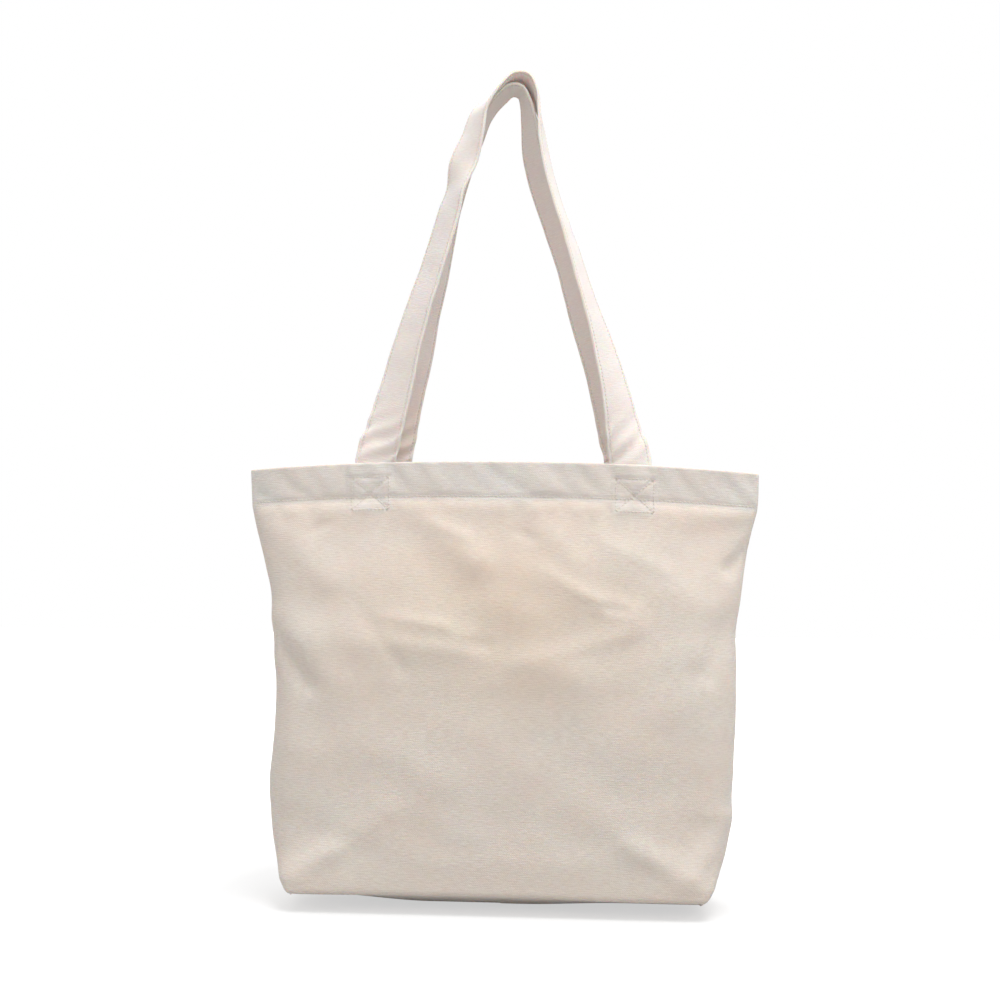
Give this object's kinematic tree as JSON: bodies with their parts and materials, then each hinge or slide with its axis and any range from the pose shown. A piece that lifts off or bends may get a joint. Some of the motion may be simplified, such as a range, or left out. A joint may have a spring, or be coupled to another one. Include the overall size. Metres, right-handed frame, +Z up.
{
  "type": "canvas tote bag",
  "caption": "Open-topped canvas shopping bag with a turned hem, a flat boxed base and two long flat shoulder handles sewn inside the mouth.",
  "frame": {"origin": "under the middle of the flat base, on the surface the bag stands on", "axes": "+X to the bag's right as seen from the front, +Y towards the back, +Z up to the handles"},
  "size_m": [0.4376, 0.1006, 0.7135],
  "materials": {
    "body_canvas": "unbleached plain-weave cotton canvas",
    "hem_canvas": "unbleached cotton canvas, several layers",
    "handle_canvas": "folded and edge-stitched cotton canvas strip",
    "overlocked_seam": "raw canvas edges bound with overlock thread",
    "cotton_thread": "matte sewing thread"
  },
  "bodies": {
    "bag": {"front_panel": "body_canvas", "back_panel": "body_canvas", "front_hem": "hem_canvas", "back_hem": "hem_canvas", "side_seam_left": "overlocked_seam", "side_seam_right": "overlocked_seam", "corner_seam_left": "overlocked_seam", "corner_seam_right": "overlocked_seam", "base_seam": "overlocked_seam", "front_handle_end_left": "handle_canvas", "front_handle_end_right": "handle_canvas", "back_handle_end_left": "handle_canvas", "back_handle_end_right": "handle_canvas", "front_box_stitches_left": "cotton_thread", "front_box_stitches_right": "cotton_thread", "back_box_stitches_left": "cotton_thread", "back_box_stitches_right": "cotton_thread", "front_hem_stitches": "cotton_thread", "back_hem_stitches": "cotton_thread"},
    "front_handle": {"front_handle_loop": "handle_canvas", "front_handle_stitches": "cotton_thread"},
    "back_handle": {"back_handle_loop": "handle_canvas", "back_handle_stitches": "cotton_thread"}
  },
  "joints": [
    {"name": "front_handle_fold", "type": "hinge", "parent": "bag", "child": "front_handle", "pos_m": [0, -0.02456, 0.378], "axis": [1, 0, 0], "range_deg": [0, 155]},
    {"name": "back_handle_fold", "type": "hinge", "parent": "bag", "child": "back_handle", "pos_m": [0, 0.02491, 0.378], "axis": [-1, 0, 0], "range_deg": [0, 155]}
  ]
}
